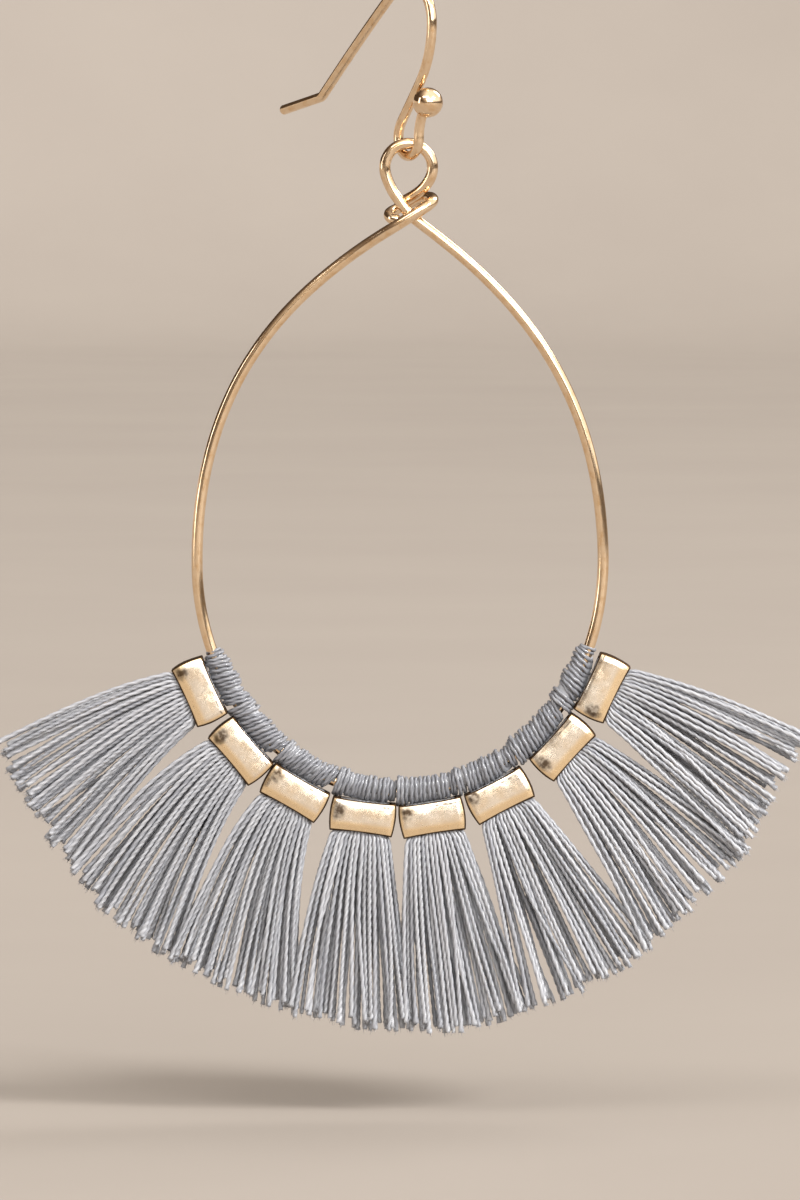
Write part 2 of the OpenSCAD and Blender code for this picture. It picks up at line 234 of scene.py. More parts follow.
# The room is dim brown on the left, and pale above and to the right of the camera.
bright_way = (0.62, -0.42, 0.66)
room_tones = [(0.44, (0.060, 0.042, 0.030, 1)), (0.58, (0.17, 0.13, 0.10, 1)),
              (0.70, (0.50, 0.42, 0.34, 1)), (0.84, (1.0, 0.96, 0.91, 1))]
world = bpy.data.worlds.new("studio_room")
world.use_nodes = True
room = world.node_tree
room_way = room.nodes.new("ShaderNodeTexCoord").outputs["Generated"]
toward_light = room.nodes.new("ShaderNodeVectorMath")
toward_light.operation = "DOT_PRODUCT"
toward_light.inputs[1].default_value = bright_way
room.links.new(room_way, toward_light.inputs[0])
room_tone = room.nodes.new("ShaderNodeValToRGB")
room_stops = room_tone.color_ramp.elements
for place, _ in room_tones[1:-1]:
    room_stops.new(place)
for stop, (place, tone) in zip(room_stops, room_tones):
    stop.position = place
    stop.color = tone
half_range = room.nodes.new("ShaderNodeMath")
half_range.operation = "MULTIPLY_ADD"
half_range.inputs[1].default_value = 0.5
half_range.inputs[2].default_value = 0.5
room.links.new(toward_light.outputs["Value"], half_range.inputs[0])
room.links.new(half_range.outputs[0], room_tone.inputs[0])
room.links.new(room_tone.outputs[0], room.nodes["Background"].inputs["Color"])
room.nodes["Background"].inputs["Strength"].default_value = 1.4
bpy.context.scene.world = world


# Ear wire
# One round wire, plated pale gold: a cradle that carries the hoop, a leg up to the arch over the
# ear, and a back leg with a kinked straight tip. A short stem in front ends in a soldered ball.

hook_wire_d = 0.8
cradle_r = 1.42
leg_bend_r = 2.1
leg_lean = 39
leg_bow_r = 7.8
arch_r = 3.2
arch_turn = 128
back_leg = 13
back_bow = 3.2
kink_r = 1
kink_turn = 30
tip_run = 5.3
stem_r = 3.9
stem_lean = 47
ball_d = 2.4
hook_angle = 55
hang_clear = 0.15
hoop_wire_d = 0.9

wire_step = 0.12
wire_sides = 28
tip_round = 0.12


def unit(v):
    return v / np.linalg.norm(v, axis=-1, keepdims=True)


def carried_frames(paths):
    """Directions along and across each of several paths, carried along without twisting."""
    along = np.empty_like(paths)
    along[:, 1:-1] = paths[:, 2:] - paths[:, :-2]
    along[:, 0] = paths[:, 1] - paths[:, 0]
    along[:, -1] = paths[:, -1] - paths[:, -2]
    along = unit(along)
    side = np.empty_like(paths)
    start = np.cross([0.0, 1.0, 0.0], along[:, 0])
    start = np.where(np.linalg.norm(start, axis=1, keepdims=True) < 0.1, [1.0, 0.0, 0.0], start)
    side[:, 0] = unit(start)
    for k in range(1, paths.shape[1]):
        before, here = side[:, k - 1], along[:, k]
        side[:, k] = unit(before - np.sum(before * here, axis=1, keepdims=True) * here)
    return along, side, np.cross(along, side)


def swept_bars(paths, outlines):
    """Closed bars along paths with the same number of rings. outlines gives each ring's own points,
    (across, up).

    Returns the points, the faces, and for each corner of a face how far along the bar it lies in
    millimetres and how far round it, with the bar's number added."""
    count, rings = paths.shape[:2]
    sides = outlines.shape[2]
    along, across, up = carried_frames(paths)
    points = (paths[:, :, None] + outlines[..., :1] * across[:, :, None]
              + outlines[..., 1:] * up[:, :, None])
    steps = np.linalg.norm(np.diff(paths, axis=1), axis=2)
    run = np.concatenate([np.zeros((count, 1)), np.cumsum(steps, axis=1)], axis=1)

    bar, ring, k = np.meshgrid(np.arange(count), np.arange(rings - 1), np.arange(sides),
                               indexing="ij")
    first = (bar * rings + ring) * sides
    after = (k + 1) % sides
    quads = np.stack([first + k, first + after, first + sides + after, first + sides + k], axis=-1)
    place = np.stack([run[bar, ring], bar + k / sides], axis=-1)
    reach = run[bar, ring + 1] - run[bar, ring]
    corner_steps = np.array([[0, 0], [0, 1], [1, 1], [1, 0]])
    face_size = np.stack([reach, np.full_like(reach, 1 / sides)], -1)
    corners = place[..., None, :] + corner_steps * face_size[..., None, :]

    bars, around = np.arange(count)[:, None], np.arange(sides)
    start_caps = bars * rings * sides + around[::-1]
    end_caps = (bars * rings + rings - 1) * sides + around
    start_map = np.stack([np.zeros((count, sides)), bars + around[::-1] / sides], -1)
    end_map = np.stack([np.repeat(run[:, -1:], sides, axis=1), bars + around / sides], -1)
    faces = [*quads.reshape(-1, 4), *start_caps, *end_caps]
    maps = [*corners.reshape(-1, 4, 2), *start_map, *end_map]
    return points.reshape(-1, 3), faces, maps


def add_map(piece, name, maps):
    layer = piece.data.uv_layers.new(name=name)
    layer.data.foreach_set("uv", np.concatenate(maps).astype(np.float32).ravel())


def round_outline(radii, sides):
    """A circle for every ring of one bar."""
    turn = 2 * math.pi * np.arange(sides) / sides
    circle = np.stack([np.cos(turn), np.sin(turn)], -1)
    return (np.asarray(radii)[:, None, None] * circle)[None]


def rounded_ends(path, radius, edge):
    """The path with a few rings added at each end, and radii that round its edges over."""
    turns = np.radians([0, 30, 60, 90])
    lead = unit(path[0] - path[1])
    trail = unit(path[-1] - path[-2])
    head = [path[0] + lead * edge * math.cos(t) for t in turns[:3]]
    tail = [path[-1] + trail * edge * math.cos(t) for t in turns[2::-1]]
    head_r = [radius - edge * (1 - math.sin(t)) for t in turns[:3]]
    radii = head_r + [radius] * len(path) + head_r[::-1]
    return np.array([*head, *path, *tail]), np.array(radii)


def bent_walk(start, heading, stretches):
    """Points every so often along stretches of wire: each is a length and the angle it turns."""
    points = [np.array(start, float)]
    for length, turn in stretches:
        pieces = max(1, round(length / wire_step))
        for _ in range(pieces):
            middle = math.radians(heading + turn / pieces / 2)
            chord = length / pieces
            points.append(points[-1] + chord * np.array([math.cos(middle), math.sin(middle)]))
            heading += turn / pieces
    return np.array(points)


def bend_of(radius, turn):
    return (radius * math.radians(abs(turn)), turn)


leg_run = ((cradle_r + arch_r - (leg_bend_r + leg_bow_r) * (1 - math.cos(math.radians(leg_lean))))
           / math.sin(math.radians(leg_lean)))
arch_height = (cradle_r + (leg_bend_r + leg_bow_r) * math.sin(math.radians(leg_lean))
               + leg_run * math.cos(math.radians(leg_lean)) + arch_r)
cradle_z = hook_wire_d / 2 - arch_height
pivot_z = cradle_z + hook_wire_d / 2 + hang_clear + hoop_wire_d / 2

leg = bent_walk((0, cradle_z), 180, [
    bend_of(cradle_r, -90), bend_of(leg_bend_r, -leg_lean), (leg_run, 0),
    bend_of(leg_bow_r, leg_lean), bend_of(arch_r, arch_turn), (back_leg, back_bow),
    bend_of(kink_r, -kink_turn), (tip_run, 0)])
stem = bent_walk((0, cradle_z), 0, [bend_of(cradle_r, 90), bend_of(stem_r, -stem_lean)])
route_out, route_up = np.concatenate([stem[::-1], leg[1:]]).T
lie = math.radians(hook_angle)
hook_line = np.stack([route_out * math.cos(lie), -route_out * math.sin(lie), route_up], -1)
hook_path, hook_radii = rounded_ends(hook_line, hook_wire_d / 2, tip_round)
hook_points, hook_faces, hook_map = swept_bars(hook_path[None],
                                               round_outline(hook_radii, wire_sides))

# The ball, with a narrow collar of solder where the stem enters it
ball_rings = 28
ball_sides = 48
ball_pole_r = 1e-4
ball_map_step = 0.13
collar_reach = 0.45
collar_rise = 0.22
ball_centre = hook_line[0]
stem_way = unit(hook_line[0] - hook_line[5])
level = unit(np.cross(stem_way, [0.0, 0.0, 1.0]))
third = np.cross(level, stem_way)
ball_points = []
for j in range(ball_rings + 1):
    tilt_down = math.pi * j / ball_rings
    ring_r = ball_d / 2 * math.sin(tilt_down)
    near_stem = math.exp(-((math.pi - tilt_down) / collar_reach) ** 2 * 2)
    drop = ball_d / 2 * math.cos(tilt_down) - collar_rise * near_stem
    for k in range(ball_sides):
        turn = 2 * math.pi * k / ball_sides
        outward = math.cos(turn) * level + math.sin(turn) * third
        ball_points.append(ball_centre + stem_way * drop + max(ring_r, ball_pole_r) * outward)
ball_faces = []
ball_map = []
for j in range(ball_rings):
    for k in range(ball_sides):
        after = (k + 1) % ball_sides
        ball_faces.append((j * ball_sides + k, j * ball_sides + after,
                           (j + 1) * ball_sides + after, (j + 1) * ball_sides + k))
        low, high = j * ball_map_step, (j + 1) * ball_map_step
        ball_map.append([[low, k / ball_sides], [low, (k + 1) / ball_sides],
                         [high, (k + 1) / ball_sides], [high, k / ball_sides]])

pale_gold = (0.87, 0.67, 0.455, 1)
worn_gold = (0.74, 0.50, 0.275, 1)
gold_plate = Finish("pale_gold_plate", Metallic=1.0)
drawn_lines = gold_plate.grain("wire", (0.35, 26, 1), 1.0, 4.0)
plate_wear = gold_plate.grain("wire", (0.8, 3, 1), 1.3, 5.0, 0.7)
plate_tone = gold_plate.blend(gold_plate.ramp(plate_wear, 0.42, 0.72), pale_gold, worn_gold)
gold_plate.finish("Base Color", plate_tone)
gold_plate.finish("Roughness", gold_plate.math("MULTIPLY_ADD", plate_wear, 0.14, 0.05))
gold_plate.bump(gold_plate.math("MULTIPLY_ADD", plate_wear, 0.6, drawn_lines), 0.30, 0.02)

ear_wire = mesh_object("polished_ear_wire", np.concatenate([hook_points, ball_points]),
                       [*hook_faces, *(np.array(ball_faces) + len(hook_points))])
add_map(ear_wire, "wire", [*hook_map, *np.array(ball_map)])
smooth_all(ear_wire)
ear_wire.data.materials.append(gold_plate.material)
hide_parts("ear_hook")
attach(ear_wire, "ear_hook")


# Hoop
# One thicker round wire. From a cut end behind the neck it goes round the eye, through the neck,
# round the teardrop and back up, and is wrapped once round the neck to a second cut end.

hoop_w = 32.5
hoop_low = 18.7
hoop_full = 0.01
hoop_up = 27.35
shoulder_fall = 0.63
hoop_lean = 1
eye_r = 1.9
neck_drop = 5.85
neck_shift = 0.3
hoop_step = 8
rise_step = 0.08
rise_steps = 11
lean_hold = 6
eye_step = 20
cut_edge = 0.1
knot_points = 10

# Across, up and behind, in wire diameters from where the wire crosses itself at the neck.
eye_start = [
    (-1.0, 1.22, 1.12), (-0.44, 1.55, 1.1), (0.33, 2.0, 0.8), (1.0, 2.54, 0.4), (1.48, 3.2, 0.12)]
eye_finish = [
    (-2.06, 2.91, 0), (-1.72, 2.21, 0), (-1.25, 1.55, 0), (-0.64, 0.68, 0), (0, 0, 0),
    (0.75, -0.6, 0), (1.76, -1.34, 0)]
neck_front = [
    (-3.3, -1.9, -0.5), (-1.66, -0.9, -1.12), (-0.29, -0.04, -1.18), (1, 0.78, -1.12),
    (1.63, 1.2, -0.72)]
neck_wrap = [
    (1.92, 1.52, 0.15), (1.68, 1.77, 1.15), (0.96, 1.7, 1.95), (0.11, 1.33, 2.35),
    (-0.75, 0.93, 2.4), (-1.55, 0.6, 2), (-2.05, 0.36, 1.2), (-2.1, 0.08, 0.48),
    (-1.8, -0.18, 0.02), (-1.32, -0.3, -0.14)]

half_w = hoop_w / 2
widest_z = pivot_z - neck_drop - hoop_up


def smooth_through(knots, steps):
    """The smooth curve (cubic B-spline) that the knots guide."""
    knots = np.asarray(knots, float)
    k = np.concatenate([[2 * knots[0] - knots[1]], knots, [2 * knots[-1] - knots[-2]]])
    t = (np.arange(steps) / steps)[:, None]
    weights = [(1 - t) ** 3, 3 * t ** 3 - 6 * t ** 2 + 4,
               1 + 3 * t + 3 * t ** 2 - 3 * t ** 3, t ** 3]
    runs = [sum(w * k[i + j] for j, w in enumerate(weights)) / 6 for i in range(len(knots) - 1)]
    return np.concatenate([*runs, knots[-1:]])


def knots_out(step):
    """How far out the knots of an arc stand so that the smooth curve keeps its radius."""
    return 3 / (2 + math.cos(math.radians(step)))


def neck_point(row):
    across, up, behind = row
    return (neck_shift + hoop_wire_d * across, hoop_wire_d * behind,
            pivot_z - neck_drop + hoop_wire_d * up)


def hoop_point(across, up):
    rise = max(up, 0) / hoop_up
    return (neck_shift - hoop_lean * (1 - rise ** lean_hold) + across, 0, widest_z + up)


def eye_point(degrees):
    turn = math.radians(degrees)
    reach = eye_r * knots_out(eye_step)
    return (reach * math.cos(turn), 0, pivot_z - eye_r + reach * math.sin(turn))


def side_point(side, rise):
    """Place on the left (-1) or right (1) upper side, at a share of the way up it."""
    reach = 1 - shoulder_fall * rise ** 2 - (1 - shoulder_fall) * rise ** 4
    return hoop_point(side * half_w * reach, hoop_up * rise)


def fullness(turn):
    return 1 + hoop_full * math.sin(2 * turn) ** 2


def lower_point(degrees):
    turn = math.radians(degrees)
    out = knots_out(hoop_step) * fullness(turn)
    return hoop_point(half_w * out * math.cos(turn), -hoop_low * out * math.sin(turn))


hoop_knots = [
    *map(neck_point, eye_start),
    *[eye_point(a) for a in range(-eye_step, 180 + eye_step + 1, eye_step)],
    *map(neck_point, eye_finish),
    *[side_point(1, k * rise_step) for k in range(rise_steps, 0, -1)],
    *[lower_point(a) for a in range(0, 181, hoop_step)],
    *[side_point(-1, k * rise_step) for k in range(1, rise_steps + 1)],
    *map(neck_point, neck_front),
    *map(neck_point, neck_wrap)]

hoop_line = smooth_through(hoop_knots, knot_points)
hoop_path, hoop_radii = rounded_ends(hoop_line, hoop_wire_d / 2, cut_edge)
hoop_points, hoop_faces, hoop_map = swept_bars(hoop_path[None],
                                               round_outline(hoop_radii, wire_sides))
hoop = mesh_object("polished_hoop", hoop_points, hoop_faces)
add_map(hoop, "wire", hoop_map)
smooth_all(hoop)
hoop.data.materials.append(gold_plate.material)
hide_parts("hoop_wire")
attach(hoop, "drop")


# Beads
# Eight flat tubes of cast and tumbled metal, antiqued: brown in pits and in a broken line in the
# crease under the upper bevel. Their colour also holds painted light: pale flats as a painted
# highlight, a deeper gold low down as a painted reflection of the warm floor, and brown rims and a
# brown patch at the left end, partly antiquing and partly painted shade and painted reflection.
# Each sits against the winding, and its tassel fills its hole.

bead_w = 5
bead_h = 2.75
bead_t = 2.4
bead_wall = 0.35
bead_gap = 0.05
wrap_d = 1.9
wrap_lift = 0.28
seat_clear = 0.12
bead_pitch = bead_w + bead_gap
bead_out = wrap_d / 2 - wrap_lift + seat_clear + bead_h / 2
hole_w = bead_w - 2 * bead_wall
hole_t = bead_t - 2 * bead_wall

# One row for each tassel from left to right: its shift along the wire as a share of the pitch, its
# bead's turn and its fringe's lean in degrees, and how far the fringe's middle reaches past its
# corners, as a share of its length.
tassels = [
    {"shift": 0, "turn": -2, "lean": 10.6, "bulge": 0.02},
    {"shift": 0.024, "turn": -3.1, "lean": 15.6, "bulge": 0.045},
    {"shift": -0.02, "turn": -1, "lean": 12.5, "bulge": 0.01},
    {"shift": -0.02, "turn": 2.5, "lean": 6.7, "bulge": 0.03},
    {"shift": -0.05, "turn": 0.5, "lean": -2.1, "bulge": 0.05},
    {"shift": -0.065, "turn": 0.2, "lean": -1.7, "bulge": 0.045},
    {"shift": 0.05, "turn": -0.2, "lean": -7.5, "bulge": 0.01},
    {"shift": 0.06, "turn": -0.4, "lean": -4.2, "bulge": -0.02}]
count = len(tassels)


def low_way(turn):
    """Direction of the lower curve at an angle from its bottom, as long as the curve runs there."""
    full = fullness(turn)
    change = 2 * hoop_full * math.sin(4 * turn)
    return (half_w * (math.cos(turn) * full + math.sin(turn) * change),
            hoop_low * (math.sin(turn) * full - math.cos(turn) * change))


# Length of wire from the hoop's bottom to each angle of its lower curve
curve_turns = np.radians(np.arange(0, 91))
turn_step = curve_turns[1]
curve_steps = [math.hypot(*low_way(t - turn_step / 2)) * turn_step for t in curve_turns[1:]]
curve_runs = np.concatenate([[0], np.cumsum(curve_steps)])


def curve_turn(run):
    return math.copysign(np.interp(abs(run), curve_runs, curve_turns), run)


def on_curve(run):
    """Place on the hoop's lower curve, (across, up), so far along the wire from its bottom."""
    a = curve_turn(run)
    full = fullness(a)
    return np.array([neck_shift - hoop_lean + half_w * full * math.sin(a),
                     widest_z - hoop_low * full * math.cos(a)])


def curve_tilt(run):
    across, up = low_way(curve_turn(run))
    return math.degrees(math.atan2(up, across))


def turned(degrees, v):
    c, s = math.cos(math.radians(degrees)), math.sin(math.radians(degrees))
    return np.array([v[0] * c - v[1] * s, v[0] * s + v[1] * c])


def toward(degrees, length):
    return turned(degrees, (length, 0))


def place_of(i):
    return (i - (count - 1) / 2 + tassels[i]["shift"]) * bead_pitch


def bead_tilt(i):
    return curve_tilt(place_of(i)) + tassels[i]["turn"]


def bead_centre(i):
    return on_curve(place_of(i)) + turned(curve_tilt(place_of(i)), (0, -bead_out))


end_bevel = 0.5
bevel_depth = 0.25
high_bevel = 0.38
low_bevel = 0.62
hole_corner = 0.2
crease = 0.07
end_bow = 0.16
rim_bow = 0.12
crown = 0.06
dent_depth = 0.035
ripple_depth = 0.010
width_dent = 0.010
rim_dent = 0.04

# How far up each bead, from its fringe's side, the brown patch at its left end lies. The patch is
# partly antiquing and partly a painted reflection of the dim room on the left.
patch_heights = (0.2, 0.35, 0.75, 0.6, 0.8, 0.85, 0.62, 0.45)


def plan_outline(reach, depth, bevel, slope):
    """Points round a bead seen from above: the ends of its faces bevelled, each edge rounded."""
    corners = [(reach, -depth + slope), (reach, depth - slope),
               (reach - bevel, depth), (-reach + bevel, depth),
               (-reach, depth - slope), (-reach, -depth + slope),
               (-reach + bevel, -depth), (reach - bevel, -depth)]
    # How many points lie between each corner and the next
    flats = (4, 3, 14, 3, 4, 3, 14, 3)
    points = []
    for k, here in enumerate(corners):
        here = np.array(here)
        before = np.array(corners[k - 1])
        after = np.array(corners[(k + 1) % len(corners)])
        soft = min(crease, np.linalg.norm(before - here) / 3, np.linalg.norm(after - here) / 3)
        back = unit(before - here) * soft
        ahead = unit(after - here) * soft
        for t in (0, 0.33, 0.67, 1):
            points.append(here + (1 - t) ** 2 * back + t ** 2 * ahead)
        start, stop = here + ahead, after - ahead
        points += [start + (stop - start) * (n + 1) / (flats[k] + 1) for n in range(flats[k])]
    return np.array(points)


def bead_shape(seed):
    """One bead, centred, with X along the hoop and its fringe leaving at -Z. Returns its
    points, its faces, and how many of the points are on its outside."""
    half_h = bead_h / 2
    high, low = half_h - high_bevel, -half_h + low_bevel
    slope_in = bevel_depth - crown
    # Each ring: its height, and how far in from the outside it lies at the ends and at the faces
    outside = [(half_h - 0.02, 0.05, bevel_depth), (half_h - 0.07, 0.015, bevel_depth - 0.04)]
    outside += [(high + high_bevel * t, 0, crown + slope_in * t) for t in (0.75, 0.45, 0.15)]
    outside += [(high - 0.03, 0, crown - 0.006)]
    outside += [(low + (high - low) * t, 0, crown * (2 * t - 1) ** 2)
                for t in (0.90, 0.75, 0.6, 0.45, 0.3, 0.1)]
    outside += [(low + 0.03, 0, crown - 0.006)]
    outside += [(low - low_bevel * t, 0, crown + slope_in * t) for t in (0.1, 0.35, 0.6, 0.85)]
    outside += [(-half_h + 0.05, 0.012, bevel_depth - 0.02), (-half_h + 0.02, 0.05, bevel_depth)]
    inside = [(-half_h + 0.04, bead_wall - 0.03, bead_wall), (-half_h + 0.3, bead_wall, bead_wall),
              (half_h - 0.3, bead_wall, bead_wall), (half_h - 0.04, bead_wall - 0.03, bead_wall)]
    rings = []
    for n, (height, in_w, in_t) in enumerate([*outside, *inside]):
        reach, depth = bead_w / 2 - in_w, bead_t / 2 - in_t
        if n < len(outside):
            bulge = end_bow * (1 - (height / half_h) ** 2)
            slope = max(bevel_depth - in_t * 0.9, 0.03)
            outline = plan_outline(reach + bulge, depth, end_bevel, slope)
        else:
            outline = plan_outline(reach, depth, hole_corner, hole_corner)
        ring = np.column_stack([outline, np.full(len(outline), height)])
        from_middle = ring[:, 0] / (bead_w / 2)
        ring[:, 2] -= rim_bow * (height / half_h) ** 3 * (1 - from_middle ** 2)
        if n < len(outside):
            for p in ring:
                dent = noise.noise(Vector((p[0] * 0.8 + 9 * seed, p[1], p[2] * 0.8)))
                ripple = noise.noise(Vector((p[0] * 2.4, p[1] * 2 + 5 * seed, p[2] * 2.4)))
                p[1] *= 1 + dent_depth * dent + ripple_depth * ripple
                p[0] *= 1 + width_dent * dent
                p[2] += rim_dent * dent * abs(height) / half_h
        rings.append(ring)
    around = len(rings[0])
    faces = []
    for j in range(len(rings)):
        here, below = j * around, (j + 1) % len(rings) * around
        faces += [(here + k, below + k, below + (k + 1) % around, here + (k + 1) % around)
                  for k in range(around)]
    return np.concatenate(rings), faces, around * len(outside)


# The palest gold paints a highlight on the flats, and the deep gold low on each bead paints a
# reflection of the warm floor.
pale_gold_painted_highlight = (0.98, 0.88, 0.74, 1)
cloudy_gold = (0.95, 0.79, 0.59, 1)
deep_gold_and_painted_reflection = (1.0, 0.76, 0.46, 1)
antique_and_painted_light_brown = (0.055, 0.030, 0.014, 1)

antique = Finish("antique_gold", Metallic=1.0)
across, up = antique.on_map("front")
in_hole, patch_up = antique.on_map("own")
tumbled = antique.grain("front", (9, 5, 1), 1.6, 4.0, 0.55)
brushed = antique.grain("front", (1.6, 30, 1), 1.6, 4.0, 0.6)

# Each bead's noise is its own, so that no two are worn alike.
worn_place = antique.node("CombineXYZ", [
    ("X", antique.math("MULTIPLY", across, bead_w / bead_h)), ("Y", up),
    ("Z", antique.math("MULTIPLY", patch_up, 37.0))]).outputs[0]
clouds = antique.noise_at(worn_place, 2.2, 4.0)
specks = antique.noise_at(worn_place, 7.0, 5.0)

# Brown is left in a broken line under the upper bevel, in a patch at the left end and at the rims.
# The broken line is antiquing; the patch and the rims are partly painted reflection and painted
# shade.
line_up = antique.math("MULTIPLY_ADD", clouds, 0.12, 0.93 - high_bevel / bead_h)
upper_line = antique.chain("MULTIPLY", antique.ramp(antique.distance(up, line_up), 0.045, 0.010),
                           antique.ramp(specks, 0.42, 0.56), antique.ramp(across, 0.25, 0.65), 0.8)
# The brown patch at the left end is partly antiquing and partly a painted reflection of the dim
# room on the left.
patch_x = antique.math("MULTIPLY", antique.math("SUBTRACT", across, 0.135), 9.0)
patch_z = antique.math("MULTIPLY", antique.math("SUBTRACT", up, patch_up), 3.4)
from_patch = antique.chain("ADD", antique.math("POWER", patch_x, 2.0),
                           antique.math("POWER", patch_z, 2.0), 1.3)
left_patch_antiquing_and_painted_reflection = antique.ramp(antique.math("MULTIPLY_ADD", specks, -1.4, from_patch), 2.0, 0.5)
patch_share = antique.math("MULTIPLY_ADD", antique.ramp(specks, 0.40, 0.56), 0.20, 0.75)
left_patch_antiquing_and_painted_reflection = antique.math("MULTIPLY", left_patch_antiquing_and_painted_reflection, patch_share)
from_middle = antique.distance(across, 0.5)
# Brown rims, partly antiquing and partly painted shade: the winding's shadow along the top rim, a
# contact shadow along the bottom rim, and a painted reflection of dark surroundings at the ends.
rim_antiquing_and_painted_shade = antique.math("MAXIMUM", antique.ramp(antique.distance(up, 0.5), 0.430, 0.456),
                        antique.ramp(from_middle, 0.464, 0.484))
pits = antique.math("MULTIPLY", antique.ramp(specks, 0.68, 0.76), 0.5)
# This brown mask holds the antiquing and the painted shade and painted reflection together.
patina_and_painted_light = antique.chain("MAXIMUM", upper_line, left_patch_antiquing_and_painted_reflection, rim_antiquing_and_painted_shade, pits, in_hole)

# Painted light: the flats are coloured palest as a painted highlight, and the lower bevel a deeper
# gold as a painted reflection of the warm floor. The ends keep a deeper gold too.
bead_tone = antique.blend(antique.ramp(clouds, 0.35, 0.7), pale_gold_painted_highlight, cloudy_gold)
painted_floor_reflection = antique.ramp(antique.math("MULTIPLY_ADD", clouds, 0.16, up), 0.46, 0.30)
painted_reflection_and_deep_ends = antique.math("MAXIMUM", painted_floor_reflection, antique.ramp(from_middle, 0.42, 0.46))
bead_tone = antique.blend(antique.math("MULTIPLY", painted_reflection_and_deep_ends, 0.9), bead_tone, deep_gold_and_painted_reflection)
antique.finish("Base Color", antique.blend(patina_and_painted_light, bead_tone, antique_and_painted_light_brown))
bead_polish = antique.math("MULTIPLY_ADD", tumbled, 0.26, 0.12)
antique.finish("Roughness", antique.math("MULTIPLY_ADD", patina_and_painted_light, 0.3, bead_polish))
antique.bump(antique.math("MULTIPLY_ADD", brushed, 0.45, tumbled), 0.3, 0.025)

for i in range(count):
    local, bead_faces, outside_count = bead_shape(i)
    flat = np.array([turned(bead_tilt(i), (p[0], p[2])) for p in local]) + bead_centre(i)
    placed = np.column_stack([flat[:, 0], local[:, 1], flat[:, 1]])
    bead = mesh_object(f"antique_bead_{i + 1}", placed, bead_faces)
    # Shares of the width and of the height, measured as if the bead's edges were straight
    up_share = 2 * local[:, 2] / bead_h
    across_share = 2 * local[:, 0] / (bead_w + 2 * end_bow * (1 - up_share ** 2))
    up_share += 2 * rim_bow / bead_h * up_share ** 3 * (1 - across_share ** 2)
    front_map = np.column_stack([across_share, up_share]) / 2 + 0.5
    hole_side = (np.arange(len(local)) >= outside_count).astype(float)
    own_map = np.column_stack([hole_side, np.full(len(local), patch_heights[i])])
    add_map(bead, "front", [front_map[list(f)] for f in bead_faces])
    add_map(bead, "own", [own_map[list(f)] for f in bead_faces])
    smooth_all(bead)
    bead.data.materials.append(antique.material)
    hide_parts(f"bead_{i + 1}")
    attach(bead, "drop")


# Tassels
# Silky grey two-ply thread, folded over the hoop wire, held there by close turns of a finer
# thread, drawn through the bead and fanned out to a cut, frayed edge.

thread_d = 0.36
thread_pitch = 1.7
ply_spread = 0.23
wrap_gap = 0.2
thread_clear = 0.08
fringe = 15.2
fringe_t = 2.6
fringe_gap = 0.3
first_spread = 12
last_spread = 8
swell = 1.15
fan_start = 0.30
fan_out = 1.2
locks = 8
layers = 4
threads_across = 15
levels = 14
settle_rounds = 12
stray_share = 0.09
stray_reach = 0.10
end_spread = 1.10
cut_uneven = (-0.055, 0.022)
wander_reach = 0.15
depth_spare = 0.12
# Where the eight points round a thread lie, in degrees: the grooves between its plies are at 90
# and 270.
ply_corners = (0, 42, 90, 138, 180, 222, 270, 318)
wound_d = 0.33
turn_spacing = 1.02
turn_steps = 26
puff_range = (-0.13, 0.19)
bead_reach = 0.32
bar_drop = 0.70
bar_r = 0.46
ring_step = 0.18
fray = 1.8
fray_swell = (0.15, 0.55)
fibres_per_tip = 5
fibre_number = 200
wound_number = 300
hairs = 60
rng = np.random.default_rng(8)


def bead_corner(i, side):
    return bead_centre(i) + turned(bead_tilt(i), (side * bead_w / 2, -bead_h / 2))


def fringe_heading(i):
    return bead_tilt(i) - 90 + tassels[i]["lean"]


def line_start(i):
    """Where the line that parts fringe i - 1 from fringe i starts, between their beads."""
    if i == 0:
        return bead_corner(0, -1)
    if i == count:
        return bead_corner(count - 1, 1)
    return (bead_corner(i - 1, 1) + bead_corner(i, -1)) / 2


def line_heading(i):
    if i == 0:
        return fringe_heading(0) - first_spread
    if i == count:
        return fringe_heading(count - 1) + last_spread
    return (fringe_heading(i - 1) + fringe_heading(i)) / 2


def line_end(i, side):
    heading = line_heading(i)
    return line_start(i) + toward(heading, fringe) + toward(heading + 90 * side, fringe_gap / 2)


def two_ply(paths, radius, phase, widths):
    """Two plies twisted together along each path. widths scales the thread, ring by ring."""
    steps = np.linalg.norm(np.diff(paths, axis=1), axis=2)
    run = np.concatenate([np.zeros((len(paths), 1)), np.cumsum(steps, axis=1)], axis=1)
    pitch = thread_pitch * (1 + 0.3 * np.sin(7 * phase[:, None]))
    turn = 2 * math.pi * run / pitch + phase[:, None]
    corner = np.radians(ply_corners)
    apart = ply_spread * radius
    ply = radius - apart
    reach = apart * np.abs(np.cos(corner)) + np.sqrt(ply ** 2 - (apart * np.sin(corner)) ** 2 * 0.8)
    lobe = np.stack([np.cos(corner) * reach, np.sin(corner) * reach], -1)
    wide = lobe[None, None] * widths[..., None, None]
    c, s = np.cos(turn)[..., None], np.sin(turn)[..., None]
    outlines = np.stack([wide[..., 0] * c - wide[..., 1] * s,
                         wide[..., 0] * s + wide[..., 1] * c], -1)
    return swept_bars(paths, outlines)


def kept_apart(places, reach, rounds):
    """Pushes the threads of one level off each other until they only touch."""
    for _ in range(rounds):
        gap = places[:, None] - places[None]
        far = np.linalg.norm(gap, axis=2) + np.eye(len(places)) * 9
        push = np.clip(reach - far, 0, None) / 2
        places = places + np.sum(gap / far[..., None] * push[..., None], axis=1) * 0.7
    return places


def smooth_levels(knots, steps):
    """smooth_through for many curves at once: knots are (level, thread, 3)."""
    flat = smooth_through(knots.reshape(len(knots), -1), steps)
    return flat.reshape(-1, *knots.shape[1:]).transpose(1, 0, 2)


